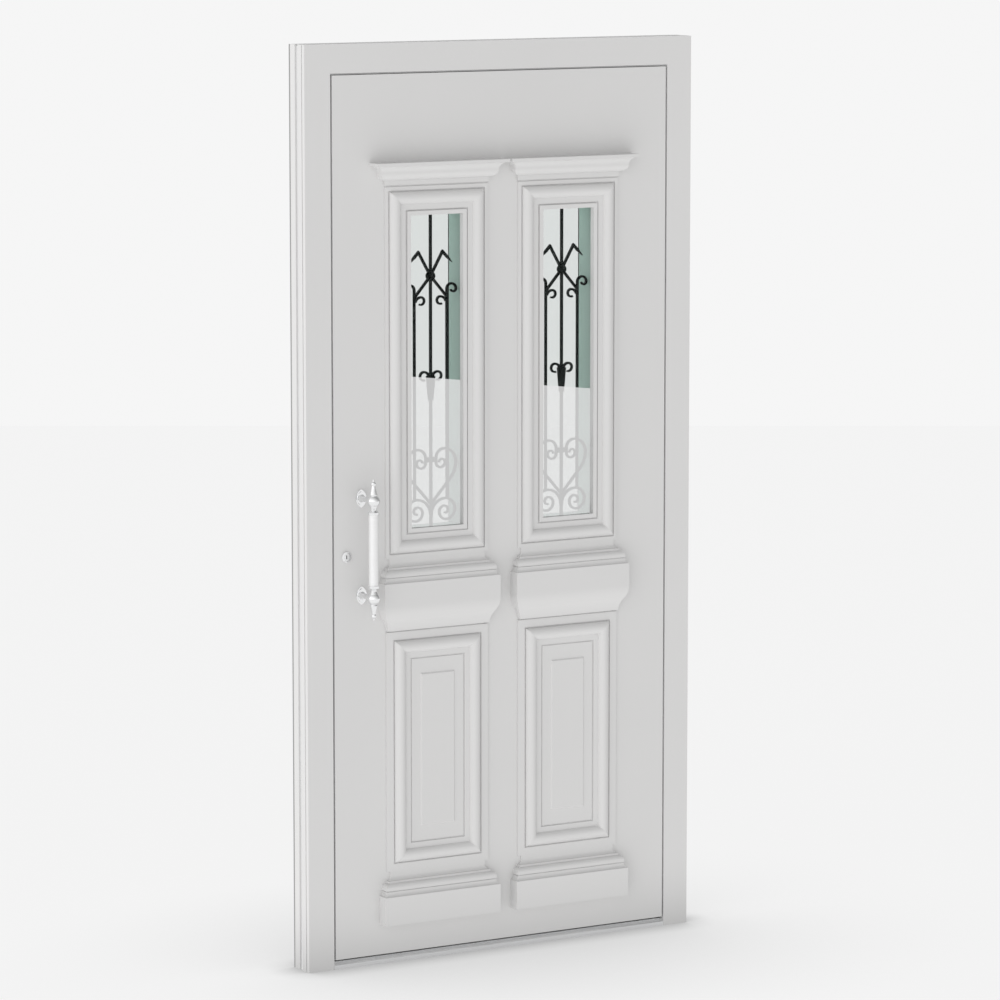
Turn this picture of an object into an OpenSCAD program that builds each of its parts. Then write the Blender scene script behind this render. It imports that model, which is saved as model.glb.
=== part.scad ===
// Panelled entrance door with its frame, opening inwards, hinges on the right seen from outside.
// The origin is on the floor, in the middle of the frame's width and depth. +X is right, +Y is indoors.

/* [Frame] */
// Width over the frame
frame_w = 1065; // [1000:1:1200]
// Height over the frame
frame_h = 2200; // [2100:1:2400]
// Depth of frame and leaf from face to face
frame_d = 77; // [72:1:90]
// Width of the frame's face seen from outside
face_w = 68; // [60:1:80]
// Step of the rebate that the leaf closes against
rebate = 20; // [16:1:24]
// Depth of the outer aluminium profile
outer_d = 34; // [30:1:36]
// Depth of the plastic thermal break
break_d = 13; // [10:1:15]
// Wall of the frame profiles
frame_wall = 3; // [2.4:0.1:4]
// Gap between leaf and frame at the sides and the top
edge_gap = 4.5; // [4:0.5:8]
// Height of the threshold
threshold_h = 18; // [14:1:22]
// Gap between the leaf and the threshold
floor_gap = 5; // [4:0.5:8]
// Radius of the wall anchor holes
anchor_r = 5.25; // [4:0.25:6]
// Distance of the wall anchors from the frame's ends
anchor_inset = 350; // [250:5:400]

/* [Leaf] */
// Width of the stiles and rails
stile_w = 90; // [86:1:100]
// Wall of the stiles and rails
stile_wall = 3.5; // [3.2:0.1:4.5]
// Thickness of the outer and inner skins
skin = 3; // [2:0.5:4]
// Room between the frame lip and the leaf for the gasket
seal_gap = 6; // [5:0.5:8]

/* [Columns] */
// Margin between the leaf's visible edge and the mouldings of a column
side_margin = 138; // [126:0.5:150]
// Gap between the two cornices in the middle
cornice_gap = 6; // [4:1:16]
// Space between the cornices and the leaf's upper edge
head_space = 206.5; // [180:0.5:240]
// Height of the plinth's foot above the leaf's lower edge
plinth_lift = 74; // [60:1:80]
// Height of the plinth below its steps
plinth_h = 69; // [60:1:80]
// Height of the flat upper part of the belly
belly_h = 55; // [48:1:66]
// Height of the belly's ogee
ogee_h = 66; // [56:1:72]
// Height of the lower panel inside its moulding
panel_h = 443; // [420:1:470]
// Distance of the cornice's returns inside the mouldings' edge
cornice_inset = 4; // [3:0.5:9]
// Distance of the returns of apron and plinth inside the mouldings' edge
base_inset = 13; // [11:0.5:18]
// Reach of the belly and the plinth in front of the leaf
base_reach = 32; // [30:1:36]
// Reach of the cornice's top edge in front of the leaf
cornice_reach = 43; // [42:1:46]

/* [Glazing and grille] */
// Thickness of a pane
pane_t = 4; // [3:0.5:5]
// Depth of the outer pane behind the leaf's face
pane_y = 9.5; // [8:0.5:10]
// Depth of the inner pane behind the leaf's face
inner_pane_y = 70; // [66:0.5:70.5]
// Cover of the moulding over the edge of the glass
glass_edge = 11; // [9:0.5:11.5]
// Thickness of the liner round the light
liner_t = 5; // [3:0.5:6]
// Side of the grille's square bars
bar = 6; // [5:0.5:7]
// Depth of the grille's middle behind the leaf's face
grille_y = 27.5; // [27:0.5:32]

/* [Pull handle] */
// Distance of the pull handle from the leaf's visible edge
pull_inset = 72; // [68:0.5:78]
// Height of the pull handle's middle
pull_z = 1014.5; // [1000:0.5:1040]
// Length of the bar between its collars
pull_bar_l = 170; // [160:1:220]
// Radius of the bar
pull_bar_r = 11.5; // [10:0.25:13]
// Distance of the bar's axis from the leaf's face
pull_reach = 62; // [56:1:70]

/* [Lock] */
// Distance of the cylinder's axis from the leaf's lock edge
backset = 52; // [50:0.5:60]
// Height of the cylinder's axis
cylinder_z = 993; // [985:1:1000]
// Distance from the cylinder's axis up to the lever's axis
lever_pitch = 92; // [88:1:94]
// Radius of the cylinder body
cylinder_r = 10; // [9:0.25:11]
// Distance of the upper and lower bolts from the cylinder's axis
bolt_pitch = 600; // [560:5:620]
// Travel of the bolts and the drive rods
bolt_throw = 20; // [16:1:20]
// Travel that draws the latch bolt back
latch_throw = 11.5; // [10:0.5:12]

/* [Hinges] */
// Radius of the hinge knuckles
knuckle_r = 10; // [9:0.5:11]
// Radius of the hinge pins
pin_r = 6; // [5:0.25:7]
// Length of one hinge
hinge_l = 110; // [100:1:130]
// Distance of the outer hinges from the leaf's ends
hinge_inset = 227; // [200:1:240]

/* [Fits] */
// Gap between faces that slide past each other
slide_gap = 0.3; // [0.3:0.05:0.5]
// Radial gap of turning pins
turn_gap = 0.05; // [0.02:0.01:0.1]

/* [Hidden] */
$fn = 64;
over = 1;

PAINT = "#d0d0ce";
ALLOY = "#b9bcbe";
STEEL = "#9ea1a3";
CHROME = "#dcdedf";
PLASTIC = "#2c2d2e";
IRON = "#1d1f1f";
GLASS = "#bfd3cc";

// Frame outlines, from the door's middle
inner_y = outer_d + break_d;
frame_x = frame_w / 2;
lip_x = frame_x - face_w;
seat_x = lip_x + rebate;
lip_z = frame_h - face_w;
seat_z = lip_z + rebate;

// Leaf outlines: the face inside the lip, and the shoulder behind it
leaf_x = lip_x - edge_gap;
leaf_top = lip_z - edge_gap;
leaf_low = threshold_h + floor_gap;
shoulder_x = seat_x - edge_gap;
shoulder_top = seat_z - edge_gap;
shoulder_y = outer_d + seal_gap;
stile_in = shoulder_x - stile_w;
rail_in_top = shoulder_top - stile_w;
rail_in_low = leaf_low + stile_w;

// Sections of the frame profiles
groove_y = 12;
groove_w = 3;
groove_d = 4;
break_recess = 4;
break_strip = 3;
corner_rebate = 7;

// Moulding round light and panel, from its inner edge outwards
lip_w = 10;
inner_quirk_w = 3.5;
strip_w = 13.5;
roll_w = 30;
outer_quirk_w = 3;
fillet_w = 9;
moulding_w = lip_w + inner_quirk_w + strip_w + roll_w + outer_quirk_w + fillet_w;
quirk_floor = 1;
fillet_h = 4;
lip_h = 6;
roll_h = 15;
roll_step = 0.6;
tongue_w = 12;

// Steps above belly and plinth, from the bottom up
cavetto_r = 7;
riser_h = 5;
groove_h = 2;
groove_in = 2;
ovolo_foot = 5;
ovolo_r = 11;
collar_h = 5;
scotia_r = 10;
neck_h = 11;
steps_h = cavetto_r + riser_h + groove_h + ovolo_foot + ovolo_r + collar_h + scotia_r + neck_h;
riser_reach = base_reach - cavetto_r;
collar_reach = riser_reach - ovolo_r;
neck_reach = collar_reach - scotia_r;
ogee_drop = 20;
ogee_r = (ogee_h * ogee_h + ogee_drop * ogee_drop) / (4 * ogee_drop);

// Shadow gap under cornice and apron
quirk_h = 4;
quirk_reach = 1.5;

// Cornice, from the bottom up
frieze_h = 16;
frieze_reach = 6;
cornice_fillet_h = 7;
cornice_lip = 2;
cyma_r = (cornice_reach - cornice_lip - frieze_reach) / 2;
cornice_h = frieze_h + 2 * cyma_r + cornice_fillet_h;

// Heights of a column, from the bottom up
plinth_z = leaf_low + plinth_lift;
plinth_top = plinth_z + plinth_h + steps_h;
panel_z = plinth_top + moulding_w;
apron_z = panel_z + panel_h + moulding_w;
apron_top = apron_z + ogee_h + belly_h + steps_h;
light_z = apron_top + moulding_w;
cornice_z = leaf_top - head_space - cornice_h;
light_h = cornice_z - moulding_w - light_z;

// Widths of a column: two of them stand between the leaf's margins
column_w = leaf_x - side_margin - cornice_gap / 2 - cornice_reach + cornice_inset;
column_x = leaf_x - side_margin - column_w / 2;
open_w = column_w - 2 * moulding_w;
cornice_core_w = column_w - 2 * cornice_inset;
base_core_w = column_w - 2 * base_inset;

// Raised field of the lower panel
panel_plate = 3;
field_in_x = 24;
field_in_z = 36;
field_rise = 3;
field_bevel = 3;

// Inner trim round the light
trim_w = 24;
trim_h = 6;
trim_bevel = 13;

// Room between the light's edge and the liner
liner_in = 4;

// Wrought work in 142nds of the light's width: (distance from the middle bar, height in the light)
unit = open_w / 142;
ball_r = 2 * bar;
ball_at = light_h - 148.5 * unit;
apex = [33 * unit, light_h - 91 * unit];
barb_tip = [59 * unit, light_h - 118 * unit];
side_bar_x = 44.5 * unit;
arm_foot = light_h - 198 * unit;
top_scroll_at = light_h - 181 * unit;
inner_scroll = [42 * unit, light_h - 210 * unit];
tulip_at = light_h / 2 - 72.5 * unit;
curl = [4 * unit, tulip_at + 53];
tie_at = 157 * unit;
heart = [1, 51 * unit];
spiral = [1, 24 * unit];
spiral_r = 38 * unit;
bend_step = 9;
forge_taper = 0.25;
bar_thin = 0.5;

// Handle, lock and hinge places
pull_x = pull_inset - leaf_x;
pull_post_in = 31;
lock_x = backset - shoulder_x;
lever_z = cylinder_z + lever_pitch;
lock_y = (shoulder_y + frame_d - skin) / 2 + 1.5;
faceplate_t = 2.5;
faceplate_w = 22;
faceplate_over = 50;
case_t = 16;
case_depth = 78;
case_below = 118;
case_above = 52;
case_low = cylinder_z - case_below;
case_high = lever_z + case_above;
end_case_h = 120;
bolt_t = 12;
latch_h = 20;
deadbolt_h = 34;
deadbolt_z = cylinder_z + deadbolt_h / 2;
end_bolt_h = 30;
rod_t = 3;
rod_w = 8;
rod_stop = 1;
rod_in = (end_case_h - end_bolt_h) / 2 - bolt_throw - rod_stop;
rod_room = rod_in + bolt_throw + rod_stop;
plug_r = 6.5;
plate_t = 7;
plate_w = 38;
plate_below = 35;
plate_above = 45;
neck_r = 9;
spindle = 8;
bolt_l = backset - faceplate_t - latch_throw - spindle - slide_gap;
strike_t = 2;
strike_over = 26;
axis_x = seat_x - edge_gap / 2;
axis_y = frame_d + knuckle_r + 1;
hinge_plate_t = 4;
hinge_plate_w = 38;
leaf_knuckle = hinge_l * 0.36;
hinge_zs = [leaf_low + hinge_inset, (leaf_low + leaf_top) / 2, leaf_top - hinge_inset];
bolt_rise = 27;
end_bolt_zs = [cylinder_z + bolt_rise - bolt_pitch, cylinder_z + bolt_rise + bolt_pitch];

// Heights between which the two drive rods run at rest
rod_spans = [
  [end_bolt_zs[0] + end_case_h / 2 - rod_in - slide_gap, case_low + slide_gap],
  [case_high - rod_in - slide_gap, end_bolt_zs[1] - end_case_h / 2 + slide_gap]
];

// Puts the frame's middle depth on the origin: everything is drawn from the frame's front face
module at_front() {
  translate([0, -frame_d / 2, 0]) children();
}

// Runs a (y, z) outline along X, centred
module along_x(length) {
  rotate([90, 0, 90]) linear_extrude(length, center = true) children();
}

// Runs an (x, z) outline along Y
module along_y(from, to) {
  translate([0, to, 0]) rotate([90, 0, 0]) linear_extrude(to - from) children();
}

// A box from one corner to the other
module block(low, high) {
  translate(low) cube(high - low);
}

// A round along Y
module rod_y(x, z, r, from, to) {
  translate([x, to, z]) rotate([90, 0, 0]) cylinder(r = r, h = to - from);
}

// Both sides of the door, or of a column
module both_sides() {
  for (side = [0, 1]) mirror([side, 0, 0]) children();
}

// Cross-section of the frame's outer profile, from its outer edge inwards
module outer_section() {
  difference() {
    square([face_w, outer_d]);
    translate([frame_wall, frame_wall]) square([face_w - 2 * frame_wall, groove_y - 2 * frame_wall]);
    translate([frame_wall + groove_d, groove_y])
      square([face_w - 2 * frame_wall - groove_d, outer_d - groove_y - frame_wall]);
    translate([-over, groove_y]) square([groove_d + over, groove_w]);
  }
}

// Cross-section of the frame's inner profile, from its outer edge inwards
module inner_section() {
  inner_w = face_w - rebate;
  difference() {
    translate([0, inner_y]) square([inner_w, frame_d - inner_y]);
    translate([frame_wall + corner_rebate, inner_y + frame_wall])
      square([inner_w - 2 * frame_wall - corner_rebate, frame_d - inner_y - 2 * frame_wall]);
    translate([-over, frame_d - corner_rebate]) square([corner_rebate + over, corner_rebate + over]);
  }
}

// Cross-section of the two strips of a thermal break
module break_section() {
  for (x = [break_recess, face_w - rebate - break_recess - break_strip])
    translate([x, outer_d]) square([break_strip, break_d]);
}

// Right jamb from a section that starts at the frame's outer edge, mitred at the head
module jamb() {
  intersection() {
    translate([frame_x, 0, 0]) mirror([1, 0, 0]) linear_extrude(frame_h) children();
    along_y(-over, frame_d + over)
      polygon([[0, 0], [frame_x, 0], [frame_x, frame_h], [0, frame_h - frame_x]]);
  }
}

// Head from the same section
module head() {
  intersection() {
    translate([0, 0, frame_h]) along_x(frame_w) rotate(-90) children();
    along_y(-over, frame_d + over)
      polygon([[-frame_x, frame_h], [0, frame_h - frame_x], [frame_x, frame_h]]);
  }
}

// Cuts that the bolts need in the left jamb's seat
module strike_cuts() {
  block([-seat_x - strike_t, lock_y - faceplate_w / 2, case_low + strike_over],
    [-seat_x + over, lock_y + faceplate_w / 2, case_high]);
  for (z = end_bolt_zs)
    block([-seat_x - strike_t, lock_y - faceplate_w / 2, z - end_case_h / 2],
      [-seat_x + over, lock_y + faceplate_w / 2, z + end_case_h / 2]);
  bolt_holes(-seat_x - 2 * frame_wall, -seat_x + over);
}

// Openings for latch, deadbolt and end bolts between two planes across X
module bolt_holes(from, to) {
  bolt_hole(from, to, lever_z, latch_h);
  bolt_hole(from, to, deadbolt_z, deadbolt_h);
  for (z = end_bolt_zs) bolt_hole(from, to, z, end_bolt_h);
}

// Opening for one bolt
module bolt_hole(from, to, z, h) {
  half_t = bolt_t / 2 + slide_gap;
  half_h = h / 2 + slide_gap;
  block([from, lock_y - half_t, z - half_h], [to, lock_y + half_t, z + half_h]);
}

// Wall anchor holes through the right jamb's inner profile
module anchor_holes() {
  anchor_y = (inner_y + frame_d - corner_rebate) / 2 + 1;
  for (z = [anchor_inset, frame_h - anchor_inset])
    translate([seat_x - over, anchor_y, z]) rotate([0, 90, 0]) cylinder(r = anchor_r, h = face_w);
}

module jamb_left_outer() {
  color(PAINT) at_front() mirror([1, 0, 0]) jamb() outer_section();
}

module jamb_right_outer() {
  color(PAINT) at_front() jamb() outer_section();
}

module jamb_left_inner() {
  color(PAINT) at_front() difference() {
    mirror([1, 0, 0]) jamb() inner_section();
    mirror([1, 0, 0]) anchor_holes();
    strike_cuts();
  }
}

module jamb_right_inner() {
  color(PAINT) at_front() difference() {
    jamb() inner_section();
    anchor_holes();
  }
}

module head_outer() {
  color(PAINT) at_front() head() outer_section();
}

module head_inner() {
  color(PAINT) at_front() head() inner_section();
}

module thermal_breaks() {
  color("#b4b5b3") at_front() {
    both_sides() jamb() break_section();
    head() break_section();
  }
}

// Low sill between the jambs, hollow, with a sloping nose
module threshold() {
  wall = 2;
  nose = 8;
  color(ALLOY) at_front() {
    along_x(2 * (lip_x - slide_gap)) difference() {
      polygon([[0, 0], [outer_d, 0], [outer_d, threshold_h], [nose, threshold_h], [0, threshold_h - nose]]);
      translate([nose, wall]) square([outer_d - nose - wall, threshold_h - 2 * wall]);
    }
    along_x(2 * (seat_x - slide_gap)) difference() {
      translate([outer_d, 0]) square([frame_d - outer_d, threshold_h]);
      translate([outer_d + wall, wall]) square([frame_d - outer_d - 2 * wall, threshold_h - 2 * wall]);
    }
  }
}

// Bulb seal on the back of the frame's lip
module frame_gasket() {
  bulb = seal_gap - slide_gap;
  foot = 3;
  lip_in = face_w - rebate / 2;
  color(PLASTIC) at_front() difference() {
    union() {
      both_sides() jamb() gasket_section(lip_in, bulb, foot);
      head() gasket_section(lip_in, bulb, foot);
    }
    block([-frame_x, 0, -over], [frame_x, frame_d, threshold_h]);
  }
}

// Cross-section of the seal: a foot on the lip and a round bulb
module gasket_section(lip_in, bulb, foot) {
  translate([lip_in, outer_d + bulb / 2]) circle(d = bulb);
  translate([lip_in - foot, outer_d]) square([2 * foot, bulb / 3]);
}

// Plate let into the jamb's seat between two heights, open for the bolts
module strike_plate(low, high) {
  difference() {
    block([-seat_x - strike_t, lock_y - faceplate_w / 2, low], [-seat_x, lock_y + faceplate_w / 2, high]);
    bolt_holes(-seat_x - strike_t - over, -seat_x + over);
  }
}

module centre_strike() {
  color(STEEL) at_front() strike_plate(case_low + strike_over, case_high);
}

module bolt_keeps() {
  color(STEEL) at_front() for (z = end_bolt_zs) strike_plate(z - end_case_h / 2, z + end_case_h / 2);
}

// One hinge wing: a plate on the inner face and the web to the axis, on the +X side
module hinge_wing(plate_h, webs) {
  plate_from = knuckle_r + slide_gap;
  block([plate_from, -axis_y + frame_d, -plate_h / 2],
    [plate_from + hinge_plate_w, -axis_y + frame_d + hinge_plate_t, plate_h / 2]);
  for (web = webs) {
    block([0, -axis_y + frame_d + slide_gap, web[0]],
      [plate_from + over, -axis_y + frame_d + hinge_plate_t, web[1]]);
    translate([0, 0, web[0]]) cylinder(r = knuckle_r, h = web[1] - web[0]);
  }
}

// Repeats a hinge piece drawn round the hinge axis
module at_hinges() {
  for (z = hinge_zs) translate([axis_x, axis_y, z]) children();
}

module hinge_frame_plates() {
  half = leaf_knuckle / 2 + slide_gap;
  color(STEEL) at_front() at_hinges() difference() {
    hinge_wing(hinge_l, [[-hinge_l / 2, -half], [half, hinge_l / 2]]);
    cylinder(r = pin_r, h = hinge_l + over, center = true);
  }
}

module hinge_leaf_plates() {
  half = leaf_knuckle / 2;
  color(STEEL) at_front() at_hinges() difference() {
    mirror([1, 0, 0]) hinge_wing(hinge_l, [[-half, half]]);
    cylinder(r = pin_r + turn_gap, h = hinge_l + over, center = true);
  }
}

// Pins with a turned cap at each end
module hinge_pins() {
  cap = 5;
  color(STEEL) at_front() at_hinges() {
    cylinder(r = pin_r, h = hinge_l, center = true);
    for (end = [0, 1]) mirror([0, 0, end]) translate([0, 0, hinge_l / 2]) {
      cylinder(r1 = knuckle_r, r2 = knuckle_r - 2, h = cap);
      translate([0, 0, cap - over]) cylinder(r = pin_r - 2, h = 3);
    }
  }
}

// Cross-section of a stile or the top rail, from the shoulder's edge inwards
module stile_section(step) {
  depth = frame_d - skin;
  difference() {
    union() {
      translate([step, skin]) square([stile_w - step, depth - skin]);
      translate([0, shoulder_y]) square([stile_w, depth - shoulder_y]);
    }
    translate([step + stile_wall, skin + stile_wall])
      square([stile_w - step - 2 * stile_wall, shoulder_y - skin - 2 * stile_wall]);
    translate([stile_wall, shoulder_y + stile_wall])
      square([stile_w - 2 * stile_wall, depth - shoulder_y - 2 * stile_wall]);
  }
}

// Hinge-side stile, mitred at both ends
module stile() {
  intersection() {
    translate([shoulder_x, 0, leaf_low]) mirror([1, 0, 0])
      linear_extrude(shoulder_top - leaf_low) stile_section(rebate);
    along_y(0, frame_d) polygon([[shoulder_x, leaf_low], [stile_in, rail_in_low],
      [stile_in, rail_in_top], [shoulder_x, shoulder_top]]);
  }
}

module stile_hinge() {
  color(ALLOY) at_front() stile();
}

// Lock-side stile, cut out for faceplate, cases, cylinder and spindle
module stile_lock() {
  color(ALLOY) at_front() difference() {
    mirror([1, 0, 0]) stile();
    faceplate_body();
    case_body(case_t + 2 * slide_gap, slide_gap);
    rod_y(lock_x, cylinder_z, cylinder_r + slide_gap, 0, frame_d);
    rod_y(lock_x, lever_z, neck_r + slide_gap, shoulder_y + case_t, frame_d);
  }
}

module rail_top() {
  color(ALLOY) at_front() intersection() {
    translate([0, 0, shoulder_top]) along_x(2 * shoulder_x) rotate(-90) stile_section(rebate);
    along_y(0, frame_d) polygon([[-shoulder_x, shoulder_top], [-stile_in, rail_in_top],
      [stile_in, rail_in_top], [shoulder_x, shoulder_top]]);
  }
}

module rail_bottom() {
  color(ALLOY) at_front() intersection() {
    union() {
      translate([0, 0, leaf_low]) along_x(2 * leaf_x) rail_section(skin, shoulder_y);
      translate([0, 0, leaf_low]) along_x(2 * shoulder_x) rail_section(shoulder_y, frame_d - skin);
    }
    along_y(0, frame_d) polygon([[-shoulder_x, leaf_low], [-stile_in, rail_in_low],
      [stile_in, rail_in_low], [shoulder_x, leaf_low]]);
  }
}

// One chamber of the bottom rail in (y, z)
module rail_section(from, to) {
  difference() {
    translate([from, 0]) square([to - from, stile_w]);
    translate([from + stile_wall, stile_wall]) square([to - from - 2 * stile_wall, stile_w - 2 * stile_wall]);
  }
}

// Moves a column's piece to its place: side is -1 for the left column and 1 for the right one
module at_column(side) {
  at_front() translate([side * column_x, 0, 0]) children();
}

// A block the size of the light, grown by a margin, between two depths
module light_block(margin, from, to) {
  block([-open_w / 2 - margin, from, light_z - margin],
    [open_w / 2 + margin, to, light_z + light_h + margin]);
}

// Insulating core between stiles and rails, open for the two lights
module core_panel() {
  color("#cfd6dc") at_front() difference() {
    block([-stile_in, skin, rail_in_low], [stile_in, frame_d - skin, rail_in_top]);
    for (side = [-1, 1]) translate([side * column_x, 0, 0]) {
      light_block(liner_in + liner_t, 0, frame_d);
      light_block(tongue_w, 0, pane_y + pane_t);
      light_block(tongue_w, inner_pane_y, frame_d);
    }
  }
}

module outer_skin() {
  color(PAINT) at_front() difference() {
    block([-leaf_x, 0, leaf_low], [leaf_x, skin, leaf_top]);
    for (side = [-1, 1]) translate([side * column_x, 0, 0]) light_block(tongue_w, -over, frame_d);
    rod_y(lock_x, cylinder_z, cylinder_r + slide_gap, -over, frame_d);
  }
}

module inner_skin() {
  color(PAINT) at_front() difference() {
    block([-shoulder_x, frame_d - skin, leaf_low], [shoulder_x, frame_d, shoulder_top]);
    for (side = [-1, 1]) translate([side * column_x, 0, 0]) light_block(tongue_w, 0, frame_d + over);
    rod_y(lock_x, cylinder_z, cylinder_r + slide_gap, 0, frame_d + over);
    rod_y(lock_x, lever_z, neck_r + slide_gap, 0, frame_d + over);
  }
}

// A moulding returned round both sides: its (reach, z) outline starts at z, behind the leaf's face
module returned(core_w, reach, low, high) {
  intersection() {
    translate([0, 0, low]) along_x(core_w + 2 * reach) mirror([1, 0]) children();
    along_y(-reach, 0) {
      translate([-core_w / 2, low]) square([core_w, high - low]);
      for (side = [0, 1]) mirror([side, 0]) translate([core_w / 2, low]) children();
    }
  }
}

// One member of a returned outline: a strip up to a reach
module strip(reach, from, height) {
  translate([-over, from]) square([reach + over, height]);
}

// Quirk, frieze, cyma and top fillet of the cornice
module cornice_outline() {
  cyma_z = frieze_h + cyma_r;
  strip(quirk_reach, 0, quirk_h);
  strip(frieze_reach, quirk_h, cornice_h - quirk_h);
  intersection() {
    translate([frieze_reach, cyma_z]) circle(r = cyma_r);
    translate([0, frieze_h]) square([frieze_reach + cyma_r, cyma_r]);
  }
  difference() {
    strip(cornice_reach - cornice_lip, cyma_z, cyma_r);
    translate([cornice_reach - cornice_lip, cyma_z]) circle(r = cyma_r);
  }
  strip(cornice_reach, cyma_z + cyma_r, cornice_fillet_h);
}

// Cavetto, riser, groove, ovolo, collar, scotia and neck of the steps, from the bottom up
module steps_outline() {
  groove_z = cavetto_r + riser_h;
  foot_z = groove_z + groove_h;
  ovolo_z = foot_z + ovolo_foot;
  collar_z = ovolo_z + ovolo_r;
  scotia_z = collar_z + collar_h;
  difference() {
    strip(base_reach, 0, cavetto_r);
    translate([base_reach, cavetto_r]) circle(r = cavetto_r);
  }
  strip(riser_reach, cavetto_r, riser_h);
  strip(riser_reach - groove_in, groove_z, groove_h);
  strip(riser_reach, foot_z, ovolo_foot);
  strip(collar_reach, ovolo_z, ovolo_r + collar_h);
  intersection() {
    translate([collar_reach, ovolo_z]) circle(r = ovolo_r);
    strip(riser_reach, ovolo_z, ovolo_r);
  }
  difference() {
    strip(collar_reach, scotia_z, scotia_r);
    translate([collar_reach, scotia_z + scotia_r]) circle(r = scotia_r);
  }
  strip(neck_reach, scotia_z + scotia_r, neck_h);
}

// Quirk, ogee and flat of the belly
module belly_outline() {
  foot_reach = base_reach - ogee_drop;
  half_drop = ogee_drop / 2;
  strip(quirk_reach, 0, quirk_h);
  difference() {
    strip(foot_reach + half_drop, quirk_h, ogee_h / 2 - quirk_h);
    translate([foot_reach + ogee_r, 0]) circle(r = ogee_r, $fn = 128);
  }
  strip(foot_reach + half_drop, ogee_h / 2, ogee_h / 2);
  intersection() {
    translate([base_reach - ogee_r, ogee_h]) circle(r = ogee_r, $fn = 128);
    strip(base_reach, ogee_h / 2, ogee_h / 2);
  }
  strip(base_reach, ogee_h, belly_h);
}

module cornice(side) {
  color(PAINT) at_column(side)
    returned(cornice_core_w, cornice_reach, cornice_z, cornice_z + cornice_h) cornice_outline();
}

module apron(side) {
  color(PAINT) at_column(side) returned(base_core_w, base_reach, apron_z, apron_top) {
    belly_outline();
    translate([0, ogee_h + belly_h]) steps_outline();
  }
}

module plinth(side) {
  color(PAINT) at_column(side) returned(base_core_w, base_reach, plinth_z, plinth_top) {
    strip(base_reach, 0, plinth_h);
    translate([0, plinth_h]) steps_outline();
  }
}

// Section of the moulding round light and panel: (distance from the inner edge, height over the leaf)
// A lip of no width leaves the inner quirk open to the panel
module moulding_section(lip, tongue_d) {
  strip_at = lip + inner_quirk_w;
  roll_at = strip_at + strip_w;
  quirk_at = roll_at + roll_w;
  fillet_at = quirk_at + outer_quirk_w;
  bead = lip == 0 ? [] : [[lip, lip_h], [0, lip_h]];
  polygon(concat([[0, -tongue_d], [tongue_w, -tongue_d], [tongue_w, 0], [moulding_w, 0],
    [moulding_w, fillet_h], [fillet_at, fillet_h], [fillet_at, quirk_floor], [quirk_at, quirk_floor],
    [quirk_at, fillet_h], [strip_at, fillet_h], [strip_at, quirk_floor], [lip, quirk_floor]], bead));
  swell(roll_at, roll_w, fillet_h + roll_step, roll_h);
}

// Convex arc of a moulding over a chord, from one height to its crown
module swell(from, width, foot, crown) {
  sag = crown - foot;
  r = (width * width / 4 + sag * sag) / (2 * sag);
  intersection() {
    translate([from + width / 2, crown - r]) circle(r = r, $fn = 128);
    translate([from, foot - over]) square([width, sag + 2 * over]);
  }
}

// Four mitred lengths of a section round an opening in the (x, z) plane, about its middle
module mitred(w, h, width, from, to) {
  for (side = [0:3]) {
    length = side % 2 == 0 ? w : h;
    offset_z = side % 2 == 0 ? h / 2 : w / 2;
    rotate([0, 90 * side, 0]) intersection() {
      translate([0, 0, offset_z]) along_x(length + 2 * width) rotate(90) children();
      along_y(from, to) polygon([[-length / 2, offset_z], [length / 2, offset_z],
        [length / 2 + width, offset_z + width], [-length / 2 - width, offset_z + width]]);
    }
  }
}

module light_moulding(side) {
  color(PAINT) at_column(side) translate([0, 0, light_z + light_h / 2])
    mitred(open_w, light_h, moulding_w, -2 * roll_h, pane_y) moulding_section(lip_w, pane_y);
}

module panel_moulding(side) {
  color(PAINT) at_column(side) translate([0, 0, panel_z + panel_h / 2])
    mitred(open_w, panel_h, moulding_w, -2 * roll_h, 0) moulding_section(0, 0);
}

// Plate with a bevelled raised field
module raised_panel(side) {
  top = panel_plate + field_rise;
  half_x = open_w / 2 - field_in_x;
  half_z = panel_h / 2 - field_in_z;
  color(PAINT) at_column(side) translate([0, 0, panel_z + panel_h / 2]) {
    block([-open_w / 2, -panel_plate, -panel_h / 2], [open_w / 2, 0, panel_h / 2]);
    intersection() {
      along_x(2 * half_x) field_outline(half_z, top, 1);
      rotate([0, 90, 0]) along_x(2 * half_z) field_outline(half_x, top, 1);
    }
  }
}

// Trapezium of the raised field in (y, z)
module field_outline(half, top, sink) {
  polygon([[-sink, -half], [-panel_plate, -half], [-top, -half + field_bevel],
    [-top, half - field_bevel], [-panel_plate, half], [-sink, half]]);
}

module outer_pane(side) {
  color(GLASS) at_column(side) light_block(glass_edge, pane_y, pane_y + pane_t);
}

module inner_pane(side) {
  color(GLASS) at_column(side) light_block(glass_edge, inner_pane_y, inner_pane_y + pane_t);
}

// Tube that lines the light between the panes
module liner(side) {
  color("#9fb3ab") at_column(side) difference() {
    light_block(liner_in + liner_t, pane_y + pane_t, inner_pane_y);
    light_block(liner_in, 0, frame_d);
  }
}

// Section of the inner trim: (distance from the light's edge, height over the inner pane)
module trim_section() {
  face = frame_d - inner_pane_y - pane_t;
  polygon([[liner_in, 0], [tongue_w, 0], [tongue_w, face], [trim_w, face], [trim_w, face + trim_h - 2],
    [trim_w - 3, face + trim_h], [trim_bevel, face + trim_h], [liner_in, face - 2]]);
}

module inner_trim(side) {
  color(PAINT) at_column(side) translate([0, inner_pane_y + pane_t, light_z + light_h / 2])
    mitred(open_w, light_h, trim_w, -over, frame_d) mirror([0, 1]) trim_section();
}

// Legs of a bent bar in units: [0, length] runs on, and [radius, angle] bends
function in_units(legs) = [for (leg = legs) leg[0] == 0 ? [0, leg[1] * unit] : [leg[0] * unit, leg[1]]];

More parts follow.
